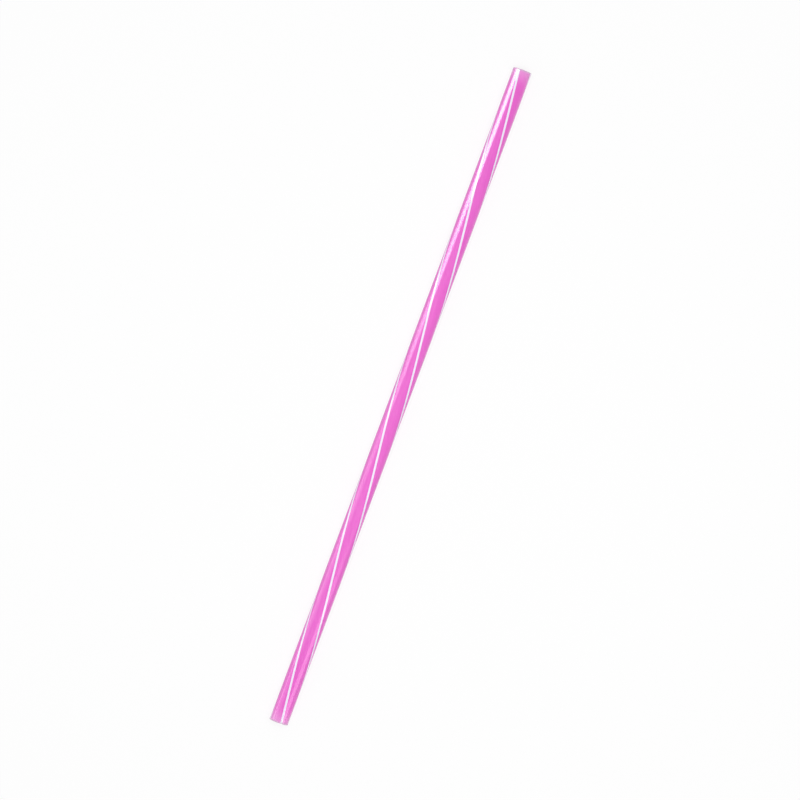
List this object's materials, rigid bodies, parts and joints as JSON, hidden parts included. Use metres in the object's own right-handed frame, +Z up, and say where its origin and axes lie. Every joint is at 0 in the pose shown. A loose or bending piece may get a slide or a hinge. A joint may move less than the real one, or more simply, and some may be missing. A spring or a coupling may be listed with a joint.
{
  "type": "drinking straw",
  "caption": "Straight rigid reusable drinking straw: a pink plastic tube open at both ends, with narrow white stripes that wind round it in a long left-handed helix.",
  "frame": {"origin": "on the surface that the straw lies on, straight under the middle of its length", "axes": "+X along the straw's own axis, from one mouth to the other; +Z up, away from the surface that it lies on; +Y across it"},
  "size_m": [0.23, 0.0064, 0.0063],
  "materials": {
    "pink_plastic": "satin",
    "white_plastic": "satin"
  },
  "bodies": {
    "root": {"straw_tube": "pink_plastic", "white_stripe_1": "white_plastic", "white_stripe_2": "white_plastic", "white_stripe_3": "white_plastic", "white_stripe_4": "white_plastic"}
  },
  "joints": []
}
